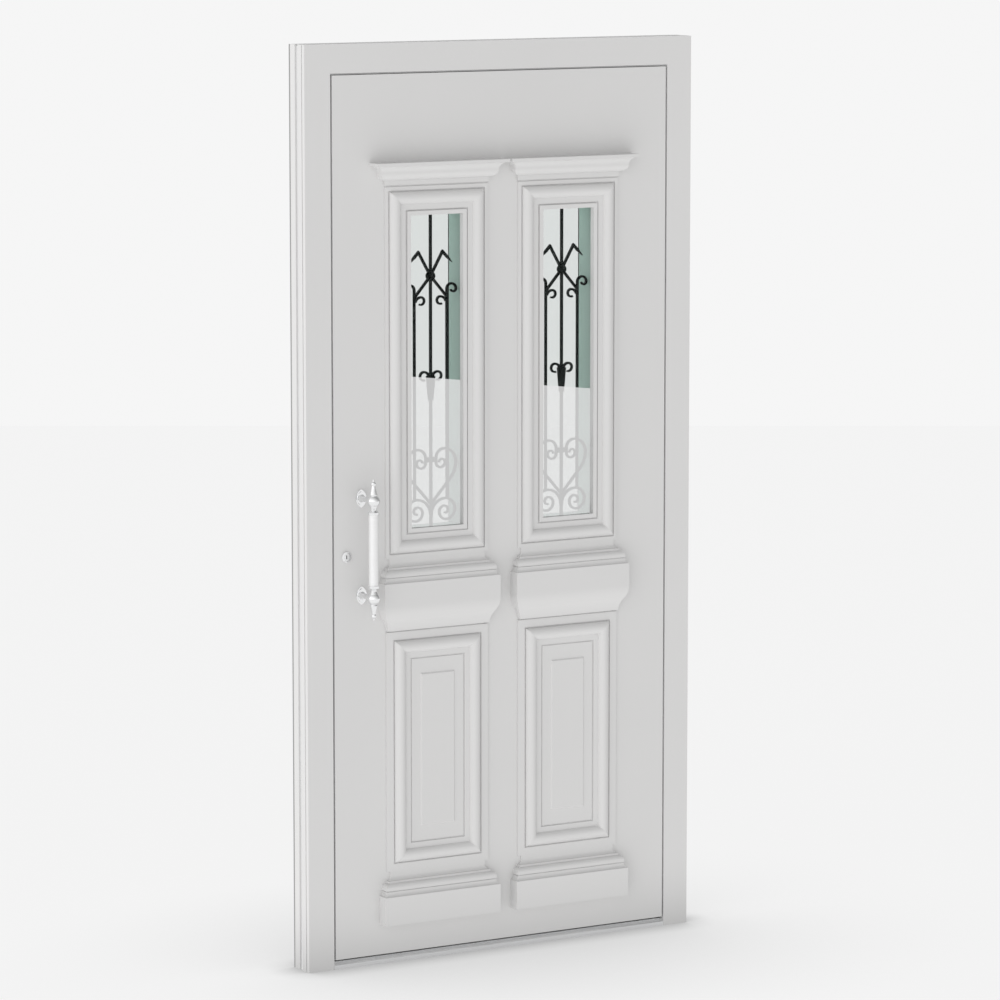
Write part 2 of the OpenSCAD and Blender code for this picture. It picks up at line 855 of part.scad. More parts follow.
// Stations [x, z, heading] along the legs
function stations(at, heading, legs, i = 0) = i == len(legs)
  ? [[at[0], at[1], heading]]
  : concat(leg_stations(at, heading, legs[i]),
      stations(leg_end(at, heading, legs[i]), leg_turn(heading, legs[i]), legs, i + 1));

function leg_turn(heading, leg) = leg[0] == 0 ? heading : heading + leg[1];

function bend_centre(at, heading, leg) = at + sign(leg[1]) * leg[0] * [-sin(heading), cos(heading)];

function on_bend(at, heading, leg, angle) =
  bend_centre(at, heading, leg) + sign(leg[1]) * leg[0] * [sin(heading + angle), -cos(heading + angle)];

function leg_end(at, heading, leg) = leg[0] == 0
  ? at + leg[1] * [cos(heading), sin(heading)]
  : on_bend(at, heading, leg, leg[1]);

function leg_stations(at, heading, leg) = leg[0] == 0
  ? [[at[0], at[1], heading]]
  : let (steps = ceil(abs(leg[1]) / bend_step))
      [for (k = [0:steps - 1]) let (turn = leg[1] * k / steps, p = on_bend(at, heading, leg, turn))
        [p[0], p[1], heading + turn]];

// One side of a bent bar, drawn out thinner towards its end
function bar_side(path, side) = [for (k = [0:len(path) - 1])
  let (half = bar * unit / 2 * (1 - forge_taper * k / len(path)), h = path[k][2])
    [path[k][0] - side * half * sin(h), path[k][1] + side * half * cos(h)]];

function reversed(list) = [for (k = [len(list) - 1:-1:0]) list[k]];

// A bent bar in the (x, z) plane, a little thinner than the straight ones
module bent_bar(at, heading, legs) {
  path = stations(at, heading, in_units(legs));
  along_y(-bar / 2 + bar_thin, bar / 2 - bar_thin)
    polygon(concat(bar_side(path, 1), reversed(bar_side(path, -1))));
}

// Straight bar between two points of the (x, z) plane
module straight_bar(from, to) {
  d = to - from;
  translate([from[0], 0, from[1]]) rotate([0, -atan2(d[1], d[0]), 0])
    block([0, -bar / 2 + bar_thin / 2, -bar / 2], [norm(d), bar / 2 - bar_thin / 2, bar / 2]);
}

// Forged barb that tapers from a point to its tip
module barb(from, to) {
  d = to - from;
  translate([from[0], 0, from[1]]) rotate([0, -atan2(d[1], d[0]), 0]) along_y(-bar / 2, bar / 2)
    polygon([[-bar / 2, -bar / 2], [norm(d) * 0.45, -bar * 0.6], [norm(d), 0],
      [norm(d) * 0.45, bar * 0.5], [-bar / 2, bar / 2]]);
}

// Tulip-shaped forging on the middle bar, with a small step under its cup
module tulip() {
  foot_r = bar + 1;
  cup_r = ball_r - 0.5;
  foot_h = 14;
  height = 58;
  translate([0, 0, tulip_at]) {
    cylinder(r = foot_r, h = foot_h);
    translate([0, 0, foot_h - over]) cylinder(r1 = foot_r + 1, r2 = cup_r, h = height - foot_h + over);
  }
}

// Right half of the wrought work: barbed arms, scrolled side bar, curls, heart and spiral
module grille_half() {
  side_foot = spiral[1] + sqrt(spiral_r * spiral_r - pow(side_bar_x - spiral_r - spiral[0], 2));
  straight_bar([0, ball_at], apex);
  barb(apex, barb_tip);
  straight_bar([0, ball_at], [side_bar_x - 1, arm_foot]);
  bent_bar([side_bar_x, side_foot], 90, [[0, (top_scroll_at - side_foot) / unit], [12.5, -180], [7, -170]]);
  bent_bar(inner_scroll, 105, [[16, 75], [9, 210]]);
  bent_bar(curl, 90, [[15, -90], [10, -200]]);
  bent_bar(heart, 48, [[0, 78], [60, 42], [33, 90], [21, 90], [0, 12], [12, 180], [8, 180]]);
  bent_bar(spiral, 90, [[38, -90], [27, -90], [24, -90], [19, -90], [14, -90], [10, -90], [7, -120]]);
}

module grille(side) {
  tie_w = 25;
  tie_h = 12;
  foot = -liner_in;
  top = light_h + liner_in;
  color(IRON) at_column(side) translate([0, grille_y, light_z]) {
    block([-bar / 2, -bar / 2, foot], [bar / 2, bar / 2, top]);
    translate([0, 0, ball_at]) rotate([90, 0, 0]) sphere(r = ball_r);
    tulip();
    block([-tie_w / 2, -bar / 2 - 1, tie_at - tie_h / 2], [tie_w / 2, bar / 2 + 1, tie_at + tie_h / 2]);
    both_sides() grille_half();
  }
}

// Bar of the pull handle
module pull_bar() {
  color("#efefec") at_front() translate([pull_x, -pull_reach, pull_z])
    cylinder(r = pull_bar_r, h = pull_bar_l, center = true);
}

// Turned end of the pull handle: collar, neck, boss and finial, from the bar's end up
module pull_end_outline() {
  collar_r = pull_bar_r + 2;
  boss_r = 15.5;
  boss_z = pull_post_in;
  ball_z = boss_z + 41;
  tip_z = boss_z + 52;
  square([collar_r, 5]);
  polygon([[0, 4], [collar_r - 1, 5], [7.5, 10], [7.5, 13], [boss_r - 3, boss_z - 8],
    [boss_r - 3, boss_z + 8], [8, boss_z + 13], [9.5, boss_z + 16], [6, boss_z + 29], [4, ball_z], [1.5, tip_z], [0, tip_z]]);
  intersection() {
    union() {
      translate([0, boss_z]) circle(r = boss_r);
      translate([0, ball_z]) circle(r = 6.5);
    }
    square([boss_r, tip_z]);
  }
}

// Pointed oval on the leaf, between two heights over it
module pointed_oval(width, height, from, to) {
  r = (width * width + height * height) / (4 * width);
  along_y(-to, -from) intersection() {
    translate([r - width / 2, 0]) circle(r = r);
    translate([width / 2 - r, 0]) circle(r = r);
  }
}

// Stepped rose that carries a post, with a bell-shaped neck
module pull_rose() {
  pointed_oval(28, 44, 0, 3);
  pointed_oval(22, 34, 3 - over, 6);
  translate([0, -5, 0]) rotate([90, 0, 0]) cylinder(r1 = 10, r2 = 6.5, h = 12);
}

module pull_posts() {
  post_z = pull_bar_l / 2 + pull_post_in;
  color(CHROME) at_front() translate([pull_x, 0, pull_z]) for (end = [0, 1]) mirror([0, 0, end]) {
    translate([0, -pull_reach, pull_bar_l / 2]) rotate_extrude() pull_end_outline();
    rod_y(0, post_z, 6.5, -pull_reach, 0);
    rod_y(0, post_z, 9, -pull_reach + 10, -pull_reach + 20);
    translate([0, 0, post_z]) pull_rose();
  }
}

// Through cylinder with the bore for its plug
module cylinder_body() {
  color(CHROME) at_front() difference() {
    rod_y(lock_x, cylinder_z, cylinder_r, -3, frame_d + plate_t);
    rod_y(lock_x, cylinder_z, plug_r + turn_gap, -4, frame_d + plate_t + over);
  }
}

module cylinder_rose() {
  color(CHROME) at_front() difference() {
    rod_y(lock_x, cylinder_z, cylinder_r + 2.5, -4, 0);
    rod_y(lock_x, cylinder_z, cylinder_r + slide_gap, -5, over);
  }
}

// Long plate in the leaf's lock edge
module faceplate_body() {
  block([-shoulder_x, lock_y - faceplate_w / 2, end_bolt_zs[0] - end_case_h / 2 - faceplate_over],
    [-shoulder_x + faceplate_t, lock_y + faceplate_w / 2,
      end_bolt_zs[1] + end_case_h / 2 + faceplate_over]);
}

module lock_faceplate() {
  color(STEEL) at_front() difference() {
    faceplate_body();
    bolt_holes(-shoulder_x - over, -shoulder_x + faceplate_t + over);
  }
}

// Outer blocks of the centre case and the two end cases
module case_body(thick, grow) {
  front = -shoulder_x + faceplate_t;
  half_t = thick / 2;
  block([front, lock_y - half_t, case_low - grow],
    [front + case_depth + grow, lock_y + half_t, case_high + grow]);
  for (z = end_bolt_zs)
    block([front, lock_y - half_t, z - end_case_h / 2 - grow],
      [front + case_depth + grow, lock_y + half_t, z + end_case_h / 2 + grow]);
}

// Cases with guides for bolts and rods, the follower's hole and the cylinder's hole
module lock_cases() {
  front = -shoulder_x + faceplate_t;
  color(ALLOY) at_front() difference() {
    case_body(case_t, 0);
    bolt_holes(front - over, front + bolt_l + bolt_throw);
    rod_channels(front);
    rod_y(lock_x, cylinder_z, cylinder_r + slide_gap, 0, frame_d);
    rod_y(lock_x, lever_z, spindle * 0.75, 0, frame_d);
  }
}

// Channels at the front of the cases, long enough for the rods' travel
module rod_channels(front) {
  half_w = rod_w / 2 + slide_gap;
  for (span = rod_spans)
    block([front - over, lock_y - half_w, span[0] - slide_gap],
      [front + rod_t + 2 * slide_gap + over, lock_y + half_w, span[1] + rod_room]);
}

module drive_rods() {
  back = -shoulder_x + stile_wall + slide_gap;
  color(STEEL) at_front() for (span = rod_spans)
    block([back, lock_y - rod_w / 2, span[0]], [back + rod_t, lock_y + rod_w / 2, span[1] + rod_in]);
}

// Long plate behind the lever, round at both ends
module lever_plate() {
  low = cylinder_z - plate_below;
  high = lever_z + plate_above;
  color(CHROME) at_front() difference() {
    along_y(frame_d, frame_d + plate_t) {
      translate([lock_x - plate_w / 2, low]) square([plate_w, high - low]);
      for (z = [low, high]) translate([lock_x, z]) circle(d = plate_w);
    }
    rod_y(lock_x, cylinder_z, cylinder_r + slide_gap, 0, frame_d + plate_t + over);
    rod_y(lock_x, lever_z, neck_r + turn_gap, 0, frame_d + plate_t + over);
  }
}

// Lever with its neck and square spindle
module lever_handle() {
  arm_l = 118;
  arm_w = 19;
  arm_y = frame_d + 45;
  arm_t = 13;
  color(CHROME) at_front() translate([lock_x, 0, lever_z]) {
    rod_y(0, 0, neck_r, frame_d, arm_y + over);
    block([-spindle / 2, lock_y - case_t / 2, -spindle / 2], [spindle / 2, frame_d + over, spindle / 2]);
    along_y(arm_y, arm_y + arm_t) {
      circle(d = arm_w + 6);
      translate([0, -arm_w / 2]) square([arm_l, arm_w]);
      translate([arm_l, 0]) circle(d = arm_w);
    }
  }
}

// Latch bolt at rest in its strike, bevelled on the side that meets the frame first
module latch_bolt() {
  nose = -shoulder_x - latch_throw;
  root = -shoulder_x + faceplate_t + bolt_l;
  color(STEEL) at_front() translate([0, 0, lever_z - latch_h / 2]) linear_extrude(latch_h)
    polygon([[root, lock_y - bolt_t / 2], [nose + latch_throw, lock_y - bolt_t / 2],
      [nose, lock_y + bolt_t / 2 - 2], [nose, lock_y + bolt_t / 2], [root, lock_y + bolt_t / 2]]);
}

// A square bolt, flush with the faceplate at rest
module square_bolt(z, h) {
  block([-shoulder_x, lock_y - bolt_t / 2, z - h / 2],
    [-shoulder_x + faceplate_t + bolt_l, lock_y + bolt_t / 2, z + h / 2]);
}

module deadbolt() {
  color(STEEL) at_front() square_bolt(deadbolt_z, deadbolt_h);
}

module end_bolts() {
  color(STEEL) at_front() for (z = end_bolt_zs) square_bolt(z, end_bolt_h);
}

// Plug that turns in the cylinder, slotted for the key outside
module key_plug() {
  slot_w = 2.4;
  slot_h = 9;
  slot_d = 20;
  color(CHROME) at_front() difference() {
    rod_y(lock_x, cylinder_z, plug_r, -3.5, frame_d + plate_t + slide_gap);
    block([lock_x - slot_w / 2, -4.5, cylinder_z - slot_h / 2],
      [lock_x + slot_w / 2, slot_d, cylinder_z + slot_h / 2]);
  }
}

// Knob inside, with a flat grip across it
module thumb_turn() {
  base = frame_d + plate_t + slide_gap;
  color(CHROME) at_front() {
    rod_y(lock_x, cylinder_z, 13, base, base + 5);
    block([lock_x - 3.5, base + 5, cylinder_z - 12], [lock_x + 3.5, base + 20, cylinder_z + 12]);
  }
}

// Brush under the leaf
module bottom_seal() {
  seal_t = 6;
  color(PLASTIC) at_front()
    block([-leaf_x + edge_gap, outer_d - seal_t, threshold_h + slide_gap],
      [leaf_x - edge_gap, outer_d, leaf_low]);
}

jamb_left_outer();
jamb_left_inner();
jamb_right_outer();
jamb_right_inner();
head_outer();
head_inner();
thermal_breaks();
threshold();
frame_gasket();
centre_strike();
bolt_keeps();
hinge_frame_plates();
hinge_pins();
stile_lock();
stile_hinge();
rail_top();
rail_bottom();
core_panel();
outer_skin();
inner_skin();
cornice(-1);  // cornice_left
light_moulding(-1);  // light_moulding_left
apron(-1);  // apron_left
panel_moulding(-1);  // panel_moulding_left
raised_panel(-1);  // raised_panel_left
plinth(-1);  // plinth_left
cornice(1);  // cornice_right
light_moulding(1);  // light_moulding_right
apron(1);  // apron_right
panel_moulding(1);  // panel_moulding_right
raised_panel(1);  // raised_panel_right
plinth(1);  // plinth_right
outer_pane(-1);  // outer_pane_left
grille(-1);  // grille_left
liner(-1);  // liner_left
inner_pane(-1);  // inner_pane_left
inner_trim(-1);  // inner_trim_left
outer_pane(1);  // outer_pane_right
grille(1);  // grille_right
liner(1);  // liner_right
inner_pane(1);  // inner_pane_right
inner_trim(1);  // inner_trim_right
pull_bar();
pull_posts();
cylinder_body();
cylinder_rose();
lock_cases();
lock_faceplate();
lever_plate();
hinge_leaf_plates();
bottom_seal();
lever_handle();
latch_bolt();
deadbolt();
end_bolts();
drive_rods();
key_plug();
thumb_turn();
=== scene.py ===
"""Looks of a panelled entrance door with its frame: finishes, small pieces, camera and studio."""

import math

import bmesh
import bpy
from mathutils import Matrix, Vector


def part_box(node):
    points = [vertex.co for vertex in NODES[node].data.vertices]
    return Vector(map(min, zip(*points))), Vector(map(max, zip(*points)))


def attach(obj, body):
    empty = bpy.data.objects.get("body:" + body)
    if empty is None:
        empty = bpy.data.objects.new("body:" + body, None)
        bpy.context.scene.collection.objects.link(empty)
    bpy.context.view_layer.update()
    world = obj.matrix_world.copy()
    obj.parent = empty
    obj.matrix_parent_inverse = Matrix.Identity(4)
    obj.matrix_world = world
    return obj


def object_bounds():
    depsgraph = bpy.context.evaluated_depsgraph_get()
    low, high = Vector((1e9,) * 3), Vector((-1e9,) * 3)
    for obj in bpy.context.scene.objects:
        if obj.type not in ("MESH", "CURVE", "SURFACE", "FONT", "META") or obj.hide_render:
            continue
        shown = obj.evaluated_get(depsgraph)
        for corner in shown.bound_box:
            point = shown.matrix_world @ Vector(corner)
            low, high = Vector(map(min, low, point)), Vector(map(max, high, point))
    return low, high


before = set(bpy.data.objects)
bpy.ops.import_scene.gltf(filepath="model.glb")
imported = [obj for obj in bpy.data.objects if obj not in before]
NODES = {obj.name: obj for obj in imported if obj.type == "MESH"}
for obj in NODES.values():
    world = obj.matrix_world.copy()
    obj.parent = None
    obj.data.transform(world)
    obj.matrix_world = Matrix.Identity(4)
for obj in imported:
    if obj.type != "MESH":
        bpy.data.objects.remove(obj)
CAD_BOX = [list(corner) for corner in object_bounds()]
FRAME_X = CAD_BOX[1][0]
FRAME_TOP = CAD_BOX[1][2]
SCENE = bpy.context.scene
COLUMNS = ("left", "right")


# Shader maths

class Value:
    """A shader socket that adds Math nodes when it is used in an expression."""

    def __init__(self, finish, socket):
        self.finish = finish
        self.socket = socket

    def _math(self, operation, first, second):
        return self.finish.add("ShaderNodeMath", {"operation": operation}, {0: first, 1: second})

    def __add__(self, other):
        return self._math("ADD", self, other)

    __radd__ = __add__

    def __sub__(self, other):
        return self._math("SUBTRACT", self, other)

    def __rsub__(self, other):
        return self._math("SUBTRACT", other, self)

    def __mul__(self, other):
        return self._math("MULTIPLY", self, other)

    __rmul__ = __mul__

    def __pow__(self, other):
        return self._math("POWER", self, other)


class Shader:
    """A shader tree made node by node."""

    def __init__(self, owner, output):
        owner.use_nodes = True
        self.tree = owner.node_tree
        self.tree.nodes.clear()
        self.output = self.tree.nodes.new(output)

    def add(self, kind, settings=None, inputs=None, out=0):
        """Adds a node, sets its settings first and its sockets next, and returns one of its outputs."""
        node = self.tree.nodes.new(kind)
        for key, value in (settings or {}).items():
            if key == "stops":
                for stop, (position, level) in zip(node.color_ramp.elements, value):
                    stop.position = position
                    stop.color = (level, level, level, 1.0)
            else:
                setattr(node, key, value)
        for key, value in (inputs or {}).items():
            if isinstance(value, Value):
                self.tree.links.new(value.socket, node.inputs[key])
            else:
                node.inputs[key].default_value = value
        return Value(self, node.outputs[out])

    def end(self, shader):
        """Ends the tree in a shader."""
        self.tree.links.new(shader.socket, self.output.inputs["Surface"])


class Finish(Shader):
    """A material. Its patterns lie on the object's own coordinates."""

    def __init__(self, name):
        self.material = bpy.data.materials.new(name)
        super().__init__(self.material, "ShaderNodeOutputMaterial")

    def place(self, stretch=(1.0, 1.0, 1.0)):
        """Object coordinates, stretched for grain that runs one way."""
        point = self.add("ShaderNodeTexCoord", out="Object")
        return self.add("ShaderNodeMapping", inputs={"Vector": point, "Scale": stretch})

    def noise(self, scale, detail=2.0, stretch=(1.0, 1.0, 1.0)):
        """Soft noise from 0 to 1, with so many waves to the metre."""
        return self.add("ShaderNodeTexNoise",
                        inputs={"Vector": self.place(stretch), "Scale": scale, "Detail": detail}, out="Fac")

    def along(self, axis, start, end):
        """0 at one place on an axis and 1 at another, in metres."""
        point = self.add("ShaderNodeTexCoord", out="Object")
        place = self.add("ShaderNodeSeparateXYZ", inputs={0: point}, out=axis)
        return self.add("ShaderNodeClamp", inputs={"Value": (place - start) * (1 / (end - start))})

    def ramp(self, value, low, high):
        """Spreads a value from low..high over 0..1."""
        return self.add("ShaderNodeValToRGB", {"stops": [(low, 0.0), (high, 1.0)]}, {"Fac": value})

    def blend(self, first, second, factor):
        """A colour between two colours."""
        return self.add("ShaderNodeMix", {"data_type": "RGBA"}, {0: factor, 6: first, 7: second}, out=2)

    def bump(self, height, distance, strength=1.0):
        """A normal from a height, in metres of relief."""
        return self.add("ShaderNodeBump", inputs={"Height": height, "Distance": distance, "Strength": strength})

    def principled(self, **sockets):
        """A Principled shader. Sockets are given with _ for their spaces."""
        return self.add("ShaderNodeBsdfPrincipled",
                        inputs={key.replace("_", " "): value for key, value in sockets.items()})

    def surface(self, **sockets):
        """Ends the material in a Principled shader."""
        self.end(self.principled(**sockets))
        return self.material


def seen_by(shader, *rays):
    """1 for rays of the kinds named, and 0 for all other light."""
    path = shader.tree.nodes.new("ShaderNodeLightPath")
    total = sum(Value(shader, path.outputs[f"Is {ray} Ray"]) for ray in rays)
    return shader.add("ShaderNodeClamp", inputs={"Value": total})


def grey(level, warm=0.0):
    """A near-neutral colour, a little warm or cool."""
    return (level * (1 + warm), level, level * (1 - warm), 1.0)


# Finishes

PAINT_LEVEL = 0.66
PAINT_WARM = 0.006
# Painted shade at the foot: the paint darkens towards the floor over this height, down to this share of its level.
FOOT_SHADE_HEIGHT = 0.2
FOOT_SHADE_TONE = 0.72
# Painted light: the very top face of the frame is painted this pale, as if lit from above.
PAINTED_TOP_LIGHT = 0.92
TOP_SKIN = 0.0001
# Painted reflection of the white floor in the outer panes: its glow colour, its share, and the mirrored direction
# and dip where it starts.
PAINTED_FLOOR_REFLECTION = 0.81
PAINTED_REFLECTION_SHARE = 0.67
MIRROR_DOWN = (-0.075, 0.0, -1.0)
MIRROR_DIP = 0.0746


def satin_paint(name, level, warm):
    """Sprayed satin lacquer: fine orange peel and faint clouding, with painted shade darkening the foot towards the
    floor and a painted highlight lightening the very top face.
    """
    f = Finish(name)
    cloud = f.noise(3.1, 4.0)
    peel = f.noise(620.0, 2.0)
    dust = f.ramp(f.noise(1900.0, 1.0), 0.62, 0.8)
    colour = f.blend(grey(level * 0.975, warm), grey(level * 1.02, warm), cloud)
    colour = f.blend(colour, grey(level * 0.93, warm), dust * 0.25)
    # painted shade: darker towards the floor at the foot
    colour = f.blend(colour, grey(level * FOOT_SHADE_TONE, warm), f.along("Z", FOOT_SHADE_HEIGHT, 0.0) ** 2)
    # painted light: the very top face is painted pale, as if lit from above
    colour = f.blend(colour, grey(PAINTED_TOP_LIGHT), f.along("Z", FRAME_TOP - 2 * TOP_SKIN, FRAME_TOP - TOP_SKIN))
    return f.surface(Base_Color=colour, Roughness=0.36 + cloud * 0.1 + dust * 0.05,
                     Normal=f.bump(peel, 0.00004), Specular_IOR_Level=0.4)


def mill_aluminium():
    """Pale anodised extrusion with die lines along its length."""
    f = Finish("mill_aluminium")
    lines = f.noise(260.0, 3.0, (1.0, 1.0, 0.012))
    cloud = f.noise(9.0, 3.0)
    return f.surface(Base_Color=f.blend(grey(0.78, -0.005), grey(0.88, -0.005), lines),
                     Metallic=0.25, Roughness=0.38 + cloud * 0.14, Normal=f.bump(lines, 0.00003))


def sill_aluminium():
    """Anodised sill, brushed along the door's width."""
    f = Finish("sill_aluminium")
    lines = f.noise(420.0, 3.0, (0.01, 1.0, 1.0))
    scuffs = f.ramp(f.noise(38.0, 5.0), 0.58, 0.74)
    return f.surface(Base_Color=f.blend(grey(0.72, -0.005), grey(0.84, -0.005), lines),
                     Metallic=0.85, Roughness=0.34 + scuffs * 0.14, Normal=f.bump(lines, 0.00003))


def brushed_steel():
    """Zinc-plated and brushed lock steel."""
    f = Finish("brushed_steel")
    brush = f.noise(700.0, 3.0, (1.0, 1.0, 0.02))
    stain = f.noise(24.0, 4.0)
    return f.surface(Base_Color=f.blend(grey(0.44, -0.01), grey(0.6), brush),
                     Metallic=1.0, Roughness=0.26 + stain * 0.18, Normal=f.bump(brush, 0.00003))


def polished_chrome():
    """Bright plating with faint smears."""
    f = Finish("polished_chrome")
    smear = f.noise(45.0, 4.0)
    wave = f.noise(160.0, 1.0)
    return f.surface(Base_Color=f.blend(grey(0.86, -0.005), grey(0.94, -0.005), smear), Metallic=1.0,
                     Roughness=0.07 + smear * 0.08, Normal=f.bump(wave, 0.00002))


def satin_grip():
    """Pale satin-nickel bar, turned round its length."""
    f = Finish("satin_grip")
    rings = f.noise(900.0, 2.0, (0.03, 0.03, 1.0))
    smear = f.noise(30.0, 3.0)
    return f.surface(Base_Color=f.blend(grey(0.8), grey(0.9), rings), Metallic=0.45,
                     Roughness=0.3 + smear * 0.1, Normal=f.bump(rings, 0.00002))


def forged_iron():
    """Blackened wrought iron with hammer marks."""
    f = Finish("forged_iron")
    dents = f.noise(190.0, 3.0)
    scale = f.noise(900.0, 2.0)
    return f.surface(Base_Color=f.blend((0.007, 0.01, 0.009, 1.0), (0.013, 0.017, 0.016, 1.0), scale),
                     Roughness=0.42 + dents * 0.2, Specular_IOR_Level=0.12, Normal=f.bump(dents, 0.0004))


def lined_light():
    """Grey-green spacer round the glazing, finely grained, with painted shading across its depth: darker at the
    front and paler deep in the light.
    """
    f = Finish("lined_light")
    grain = f.noise(800.0, 2.0)
    low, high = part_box("liner_left")
    # painted shading: the liner darkens towards its front and pales deep in the light
    depth = f.along("Y", low[1], high[1])
    return f.surface(Base_Color=f.blend((0.4, 0.53, 0.482, 1.0), (0.57, 0.75, 0.68, 1.0), depth),
                     Roughness=0.5 + grain * 0.12, Normal=f.bump(grain, 0.00003))


def clear_glass(name, paints_floor_reflection=False):
    """Coated float glass with a faint green body and a trace of waviness. On the outer panes, an emission glow
    paints in the reflection of the white floor.
    """
    f = Finish(name)
    wave = f.noise(5.0, 1.0)
    film = f.noise(60.0, 4.0)
    glass = f.principled(Base_Color=f.blend((0.864, 0.882, 0.876, 1.0), (0.878, 0.892, 0.886, 1.0), film),
                         Roughness=0.0, IOR=1.12, Transmission_Weight=1.0, Specular_IOR_Level=0.05,
                         Normal=f.bump(wave, 0.00002))
    if paints_floor_reflection:
        # painted reflection: an emission glow stands in for the white floor mirrored in the pane
        glow = f.add("ShaderNodeEmission", inputs={"Color": grey(PAINTED_FLOOR_REFLECTION), "Strength": 1.0})
        glass = f.add("ShaderNodeMixShader", inputs={0: painted_reflection_mask(f) * PAINTED_REFLECTION_SHARE, 1: glass, 2: glow})
    f.end(glass)
    return f.material


def painted_reflection_mask(f):
    """Mask of the painted floor reflection: 1 where the camera's view, mirrored in a pane, dips below the far edge
    of the white floor.
    """
    mirrored = f.add("ShaderNodeTexCoord", out="Reflection")
    dip = f.add("ShaderNodeVectorMath", {"operation": "DOT_PRODUCT"}, {0: mirrored, 1: MIRROR_DOWN}, out="Value")
    return f.add("ShaderNodeMath", {"operation": "GREATER_THAN"}, {0: dip, 1: MIRROR_DIP}) * seen_by(f, "Camera")


def seal_rubber(name, low, high):
    """Extruded seal rubber, dull, with a bloom of dust."""
    f = Finish(name)
    bloom = f.noise(55.0, 4.0)
    grain = f.noise(1400.0, 2.0)
    return f.surface(Base_Color=f.blend(grey(low), grey(high), bloom), Roughness=0.62 + bloom * 0.2,
                     Normal=f.bump(grain, 0.00004))


def break_plastic():
    """Glass-filled polyamide of the thermal breaks."""
    f = Finish("break_plastic")
    fibre = f.noise(1100.0, 2.0, (1.0, 1.0, 0.1))
    return f.surface(Base_Color=f.blend(grey(0.64), grey(0.72), fibre), Roughness=0.5 + fibre * 0.15,
                     Normal=f.bump(fibre, 0.00005))


def foam(name, first, second, scale, relief):
    """Foam with so many cells to the metre, from one colour in their middles to another at their walls."""
    f = Finish(name)
    cells = f.add("ShaderNodeTexVoronoi", inputs={"Vector": f.place(), "Scale": scale}, out="Distance")
    return f.surface(Base_Color=f.blend(first, second, cells), Roughness=0.8 + cells * 0.1,
                     Normal=f.bump(cells, relief))


def dress(material, *names):
    """Gives CAD nodes their finish."""
    for name in names:
        mesh = NODES[name].data
        mesh.materials.clear()
        mesh.materials.append(material)


def of_columns(*names):
    """Node names of both columns."""
    return [f"{name}_{side}" for name in names for side in COLUMNS]


STEEL = brushed_steel()
CHROME = polished_chrome()
LEAF_PAINT = satin_paint("leaf_paint", PAINT_LEVEL, PAINT_WARM)
FRAME_PAINT = satin_paint("frame_paint", PAINT_LEVEL * 1.01, PAINT_WARM)

dress(LEAF_PAINT, "outer_skin", "inner_skin",
      *of_columns("cornice", "light_moulding", "apron", "panel_moulding", "raised_panel", "plinth", "inner_trim"))
dress(FRAME_PAINT, "jamb_left_outer", "jamb_left_inner", "jamb_right_outer", "jamb_right_inner", "head_outer",
      "head_inner")
dress(mill_aluminium(), "stile_lock", "stile_hinge", "rail_top", "rail_bottom")
dress(sill_aluminium(), "threshold")
dress(STEEL, "centre_strike", "bolt_keeps", "hinge_frame_plates", "hinge_pins", "hinge_leaf_plates",
      "lock_cases", "lock_faceplate", "latch_bolt", "deadbolt", "end_bolts", "drive_rods")
dress(CHROME, "pull_posts", "cylinder_body", "cylinder_rose", "lever_plate", "lever_handle", "key_plug",
      "thumb_turn")
dress(satin_grip(), "pull_bar")
dress(forged_iron(), *of_columns("grille"))
dress(lined_light(), *of_columns("liner"))
dress(clear_glass("outer_glass", paints_floor_reflection=True), *of_columns("outer_pane"))
dress(clear_glass("inner_glass"), *of_columns("inner_pane"))
dress(seal_rubber("black_rubber", 0.014, 0.035), "frame_gasket", "bottom_seal")
dress(break_plastic(), "thermal_breaks")
dress(foam("foam_core", (0.55, 0.6, 0.64, 1.0), (0.68, 0.72, 0.75, 1.0), 420.0, 0.0003), "core_panel")

for pane in of_columns("outer_pane", "inner_pane"):
    NODES[pane].visible_shadow = False


def add_piece(name, mesh, body):
    """Puts a mesh in the scene as a piece that moves with a body."""
    piece = bpy.data.objects.new(name, mesh)
    SCENE.collection.objects.link(piece)
    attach(piece, body)


# Screws

